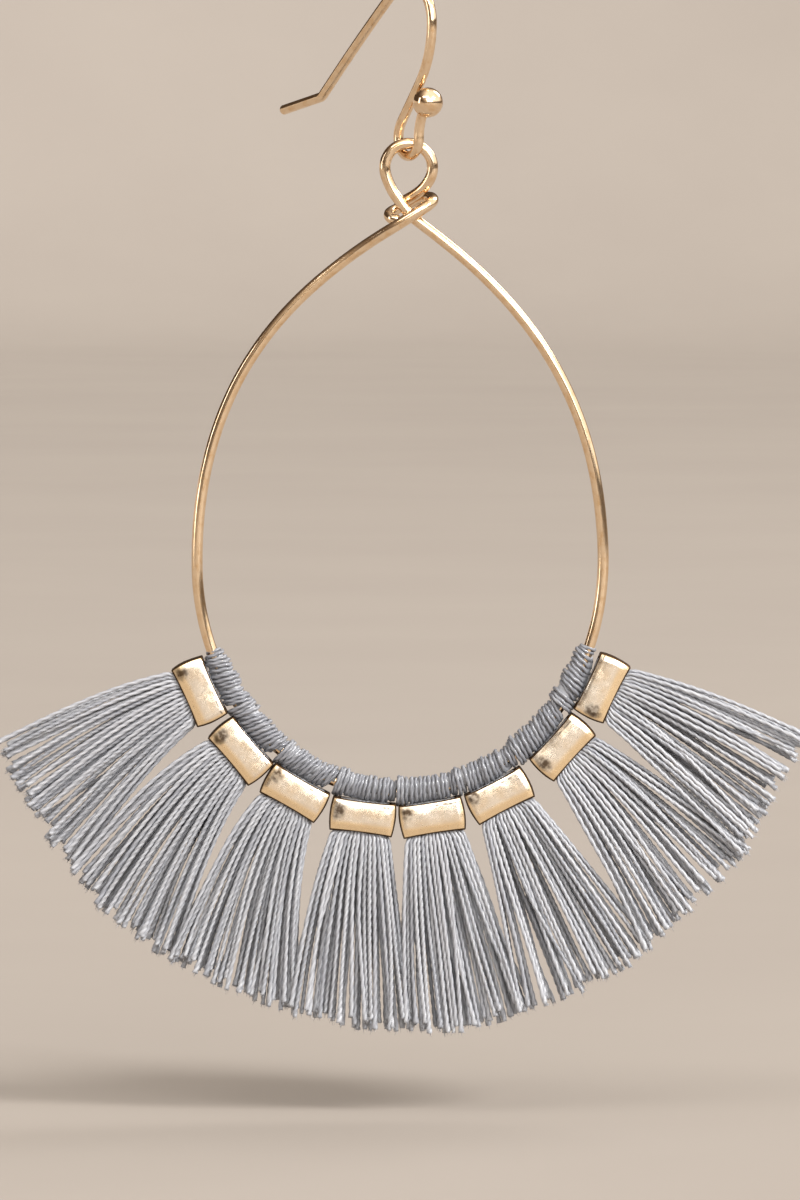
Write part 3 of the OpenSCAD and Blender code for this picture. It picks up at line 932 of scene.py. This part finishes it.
def fringe_paths(i):
    """Middle lines of the threads of tassel i, from the winding to the cut edge."""
    number = layers * threads_across
    row, column = np.divmod(np.arange(number), threads_across)
    share = (column + (row * 3 % layers + 0.5) / layers) / threads_across
    share = np.clip(share + rng.normal(0, 0.008, number), 0.01, 0.99)
    depth = (row - (layers - 1) / 2) / ((layers - 1) / 2)
    centre, heading = bead_centre(i), fringe_heading(i)
    across, down = turned(bead_tilt(i), (1, 0)), turned(bead_tilt(i), (0, -1))
    room_w = hole_w / 2 - thread_clear - thread_d / 2
    room_t = hole_t / 2 - thread_clear - thread_d / 2
    loose_t = fringe_t / 2 - thread_d / 2
    mouth = centre + down * bead_h / 2
    spread_w = (hole_w / 2 - thread_clear) * swell - thread_d * 0.3
    root = mouth + np.outer((2 * share - 1) * spread_w, across)

    # The outer threads of a lock lean together towards its middle, and a few stray.
    lock_middle = (np.floor(share * locks) + 0.5) / locks
    outer = (row == 0) | (row == layers - 1)
    end_share = share + (lock_middle - share) * np.where(outer, rng.uniform(-0.1, 0.4, number), 0)
    end_share += rng.normal(0, 0.030, number)
    strays = rng.random(number) < stray_share
    end_share = np.where(strays, end_share + rng.normal(0, stray_reach, number), end_share)
    end_share = np.clip(0.5 + (end_share - 0.5) * end_spread, -0.04, 1.04)
    uneven = rng.uniform(*cut_uneven, number)
    reach = fringe * (tassels[i]["bulge"] * (1 - (2 * end_share - 1) ** 2) + uneven)
    way = toward(heading, 1)
    ends = (line_end(i, 1) + np.outer(end_share, line_end(i + 1, -1) - line_end(i, 1))
            + reach[:, None] * way)
    guide = root + down * fan_start * fringe + np.outer((2 * share - 1) * fan_out, across)

    t = (np.linspace(0.03, 1, levels) ** 1.1)[:, None, None]
    flat = (1 - t) ** 2 * root + 2 * t * (1 - t) * guide + t ** 2 * ends
    wander = rng.normal(0, wander_reach, (number, 2))
    sway = rng.uniform(0, 2 * math.pi, (number, 2))
    wave = np.sin(sway[None] + t * rng.uniform(3, 7, number)[None, :, None]) * t
    flat = flat + wave[..., :1] * wander[None, :, :1] * across
    end_depth = depth * (loose_t - 0.1) + rng.normal(0, 0.16, number)
    behind = (depth * room_t + (end_depth - depth * room_t) * np.sqrt(t[:, :, 0])
              + wave[..., 1] * wander[None, :, 1])

    # Level by level the threads move aside for each other, within the fringe's thickness.
    aside = np.array([-way[1], way[0]])
    first_limit = room_t + depth_spare
    settled = []
    for level in range(levels):
        places = np.column_stack([flat[level] @ aside, behind[level]])
        limit = first_limit + (loose_t - first_limit) * math.sqrt(t[level, 0, 0])
        moved = kept_apart(places, thread_d * 0.9, settle_rounds)
        moved[:, 1] = np.clip(moved[:, 1], -limit, limit)
        shifted = flat[level] + np.outer((moved[:, 0] - places[:, 0]) * 0.8, aside)
        settled.append(np.column_stack([shifted[:, 0], moved[:, 1], shifted[:, 1]]))

    # Inside the bead the threads run straight.
    for rise in (0.1, bead_h * 0.5, bead_h - 0.1):
        flat_top = mouth + np.outer((2 * share - 1) * room_w, across) - down * rise
        settled.insert(0, np.column_stack([flat_top[:, 0], depth * room_t * 0.95, flat_top[:, 1]]))
    knots = np.array(settled)
    return smooth_levels(knots, 9)


def even_rings(paths, step, hidden=0.0):
    """Every path with rings the same distance apart, fewer in its hidden first stretch."""
    steps = np.linalg.norm(np.diff(paths, axis=1), axis=2)
    run = np.concatenate([np.zeros((len(paths), 1)), np.cumsum(steps, axis=1)], axis=1)
    rings = int(round((run[:, -1].mean() - hidden) / step)) + 1
    unseen = np.arange(0, hidden - step, 4 * step)
    marks = [np.concatenate([unseen, np.linspace(hidden, r[-1], rings)]) for r in run]
    return np.array([[np.interp(m, r, p[:, axis]) for axis in range(3)]
                     for m, r, p in zip(marks, run, paths)]).transpose(0, 2, 1)


def wrap_limits(i):
    """Where the winding of tassel i starts and ends along the wire."""
    here = place_of(i)
    start = here - bead_pitch / 2 if i == 0 else (place_of(i - 1) + here) / 2
    stop = here + bead_pitch / 2 if i == count - 1 else (here + place_of(i + 1)) / 2
    return start, stop


def round_wire(run, reach, angle):
    """Point at a distance and an angle round the winding's middle, which lies inside the wire's. On
    the bead's side the winding reaches further, into the bead's mouth."""
    middle = on_curve(run)
    out = turned(curve_tilt(run), (0, 1))
    inward = math.cos(angle)
    rise = reach * inward if inward > 0 else -(reach + bead_reach) * (-inward) ** 0.8
    lift = wrap_lift + rise
    return (middle[0] + out[0] * lift, -reach * math.sin(angle), middle[1] + out[1] * lift)


# How far each winding's turns lean along the wire, between its bead's side and the hoop's inside
wrap_lean = (0.34, 0.45, 0.34, 0.14, 0.16, 0.24, 0.40, 0.45)


def wrap_fullness(i, share):
    """Thickness along winding i: thin where the row of windings starts and ends, and elsewhere full
    where it starts against its neighbour and thinner towards its other end."""
    if i == 0:
        return np.interp(share, (0, 0.4, 1), (0.62, 0.98, 0.90))
    if i == count - 1:
        return np.interp(share, (0, 0.5, 1), (1.04, 0.98, 0.66))
    return np.interp(share, (0, 0.25, 1), (1.10, 1.0, 0.86))


def winding_path(i):
    """The thread wound round the hoop wire over tassel i, its turns leaning and a little uneven."""
    start, stop = wrap_limits(i)
    lean = wrap_lean[i]
    # On the hoop's inside the end turns meet the next windings, and at the bead they leave a gap.
    start_lean = 0 if i == 0 else 0.35
    stop_lean = 0 if i == count - 1 else 1
    margin = wound_d / 2 - 0.05
    start, stop = start + margin - lean * start_lean, stop - margin - lean * stop_lean
    upright_turns = (stop - start) / (wound_d * turn_spacing)
    turns = int(round(upright_turns * math.cos(math.atan(2 * lean / wrap_d)))) + 1
    turned_by = np.arange(turns * turn_steps + 1) / turn_steps
    angle = 2 * math.pi * (turned_by - 0.25)
    marks = np.arange(turns + 2)
    # The first and last three quarters of a turn don't climb along the wire.
    share = np.clip((turned_by - 0.75) / (turns - 1.5), 0, 1)
    freedom = np.minimum(1, 6 * np.minimum(share, 1 - share))
    nudge = np.interp(turned_by, marks, rng.normal(0, 0.08, turns + 2)) * freedom
    tilt = lean * np.interp(share, (0, 0.25, 0.8, 1), (start_lean, 1, 1, stop_lean))
    tilt = tilt * np.interp(turned_by, marks, rng.uniform(0.65, 1.35, turns + 2))
    run = start + (stop - start) * share + nudge + tilt * np.cos(angle)
    puff_marks = np.arange(0, turns + 2, 0.5)
    puff = np.interp(turned_by, puff_marks, rng.uniform(*puff_range, len(puff_marks)))
    reach = (wrap_d / 2) * wrap_fullness(i, share) - wound_d / 2 + puff
    return np.array([round_wire(r, d, a) for r, d, a in zip(run, reach, angle)])


def folded_core(i):
    """The threads folded over the wire, under the winding: two plain bars, of which the lower one
    is shorter and reaches into the bead's mouth."""
    start, stop = wrap_limits(i)
    share = np.linspace(0, 1, 12)
    full = wrap_fullness(i, share)
    tucked = np.interp(share, (0, 0.12, 0.88, 1), (0.5, 1, 1, 0.5))
    paths = []
    for drop, trim in ((0, wrap_gap / 2 + 0.08), (bar_drop, bead_wall + wound_d)):
        runs = np.linspace(start + trim, stop - trim, 12)
        out = [turned(curve_tilt(r), (0, wrap_lift - drop)) + on_curve(r) for r in runs]
        paths.append([(p[0], 0, p[1]) for p in out])
    outlines = [round_outline(full * wrap_d / 2 - wound_d * 0.75, 20)[0],
                round_outline(full * tucked * bar_r, 20)[0]]
    return swept_bars(np.array(paths), np.array(outlines))


def fibres(roots, ways, lengths, thickness):
    """Loose fibres: thin three-sided spikes, each bent a little on its way."""
    side = unit(np.cross(ways, unit(rng.normal(0, 1, ways.shape))))
    third = unit(np.cross(ways, side))
    bow = rng.normal(0, 0.25, (len(ways), 1)) * side * lengths[:, None]
    turn = 2 * math.pi * np.arange(3) / 3
    ring = thickness * (np.cos(turn)[None, :, None] * side[:, None]
                        + np.sin(turn)[None, :, None] * third[:, None])
    middle = roots + ways * lengths[:, None] * 0.55 + bow * 0.5
    tip = roots + ways * lengths[:, None] + bow
    points = np.concatenate([roots[:, None] + ring, middle[:, None] + 0.7 * ring, tip[:, None]],
                            axis=1)
    faces = []
    for base in range(0, 7 * len(roots), 7):
        for k in range(3):
            after = (k + 1) % 3
            faces.append((base + k, base + after, base + 3 + after, base + 3 + k))
            faces.append((base + 3 + k, base + 3 + after, base + 6))
        faces.append((base + 2, base + 1, base))
    maps = [np.full((len(f), 2), (0.5, fibre_number + 0.5)) for f in faces]
    return points.reshape(-1, 3), faces, maps


def joined(parts):
    """Several closed shapes as the points, faces and map of one mesh."""
    all_points, all_faces, all_maps = [], [], []
    offset = 0
    for points, faces, maps in parts:
        all_points.append(points)
        all_faces += [np.asarray(f) + offset for f in faces]
        all_maps += list(maps)
        offset += len(points)
    return np.concatenate(all_points), all_faces, all_maps


thread_grey = (0.285, 0.295, 0.325, 1)
pale_thread_grey = (0.455, 0.465, 0.495, 1)
slub_grey = (0.58, 0.585, 0.60, 1)
# Painted shade for the groove between the two plies
painted_groove_shade_grey = (0.08, 0.08, 0.09, 1)
# Painted shade that darkens the tightly wound thread
wound_painted_shade_grey = (0.06, 0.06, 0.075, 1)

silk = Finish("grey_silky_thread", Sheen_Weight=0.25, Sheen_Roughness=0.3, Specular_IOR_Level=0.6)
thread_turn = silk.on_map("thread")[1]
own_shade = silk.node("TexWhiteNoise", [("W", silk.math("FLOOR", thread_turn))],
                      noise_dimensions="1D").outputs["Value"]
filaments = silk.grain("thread", (0.8, 18, 1), 1.0, 3.0)
slubs = silk.grain("thread", (0.3, 1.0, 1), 1.0, 2.0)
thread_tone = silk.blend(own_shade, thread_grey, pale_thread_grey)
slub_share = silk.math("MULTIPLY", silk.ramp(slubs, 0.45, 0.75), 0.4)
thread_tone = silk.blend(slub_share, thread_tone, slub_grey)
# Painted shade: the groove between the two plies is darkened in the colour, as if in shadow.
round_thread = silk.math("MULTIPLY", thread_turn, 2 * math.pi)
painted_ply_groove_shade = silk.ramp(silk.math("ABSOLUTE", silk.math("SINE", round_thread)), 0.6, 1.0)
thread_tone = silk.blend(silk.math("MULTIPLY", painted_ply_groove_shade, 0.25), thread_tone, painted_groove_shade_grey)
# The tightly wound thread is glossier, and its colour is darkened as painted shade, since the
# winding faces the light more than the hanging thread.
wound = silk.math("GREATER_THAN", thread_turn, wound_number - 0.5)
thread_tone = silk.blend(silk.math("MULTIPLY", wound, 0.30), thread_tone, wound_painted_shade_grey)
silk.finish("Base Color", thread_tone)
hanging_roughness = silk.math("MULTIPLY_ADD", filaments, 0.25, 0.20)
silk.finish("Roughness", silk.math("MULTIPLY_ADD", wound, -0.13, hanging_roughness))
silk.bump(filaments, 0.6, 0.03)

for i in range(count):
    threads = even_rings(fringe_paths(i), ring_step, bead_h - 0.4)
    number, rings = threads.shape[:2]
    left_to_go = np.arange(rings)[::-1] * ring_step
    frayed = np.clip(1 - left_to_go / fray, 0, 1)[None] * rng.uniform(*fray_swell, (number, 1))
    uneven = 1 + 0.06 * np.sin(np.linspace(0, 9, rings)[None] + rng.uniform(0, 7, (number, 1)))
    phases = rng.uniform(0, 2 * math.pi, number)
    parts = [two_ply(threads, thread_d / 2, phases, uneven + frayed)]

    coil = even_rings(winding_path(i)[None], ring_step)
    coil_widths = np.full(coil.shape[:2], 1.06)
    coil_points, coil_faces, coil_maps = two_ply(coil, wound_d / 2, np.zeros(1), coil_widths)
    coil_maps = [np.asarray(m) + (0, wound_number) for m in coil_maps]
    parts += [(coil_points, coil_faces, coil_maps), folded_core(i)]

    # Frayed fibres at the cut ends, and short hairs on the winding
    tip_way = unit(threads[:, -1] - threads[:, -4])
    roots = np.repeat(threads[:, -1] - tip_way * 0.2, fibres_per_tip, axis=0)
    roots = roots + rng.normal(0, 0.075, roots.shape)
    ways = unit(np.repeat(tip_way, fibres_per_tip, axis=0) + rng.normal(0, 0.20, roots.shape))
    parts.append(fibres(roots, ways, rng.uniform(0.2, 0.6, len(roots)), 0.03))
    picks = rng.integers(10, coil.shape[1] - 10, hairs)
    ways = unit(rng.normal(0, 1, (hairs, 3)))
    parts.append(fibres(coil[0, picks], ways, rng.uniform(0.3, 0.5, hairs), 0.014))

    tassel_points, tassel_faces, tassel_map = joined(parts)
    tassel = mesh_object(f"thread_tassel_{i + 1}", tassel_points, tassel_faces)
    add_map(tassel, "thread", tassel_map)
    smooth_all(tassel)
    tassel.data.materials.append(silk.material)
    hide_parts(f"tassel_{i + 1}")
    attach(tassel, "drop")
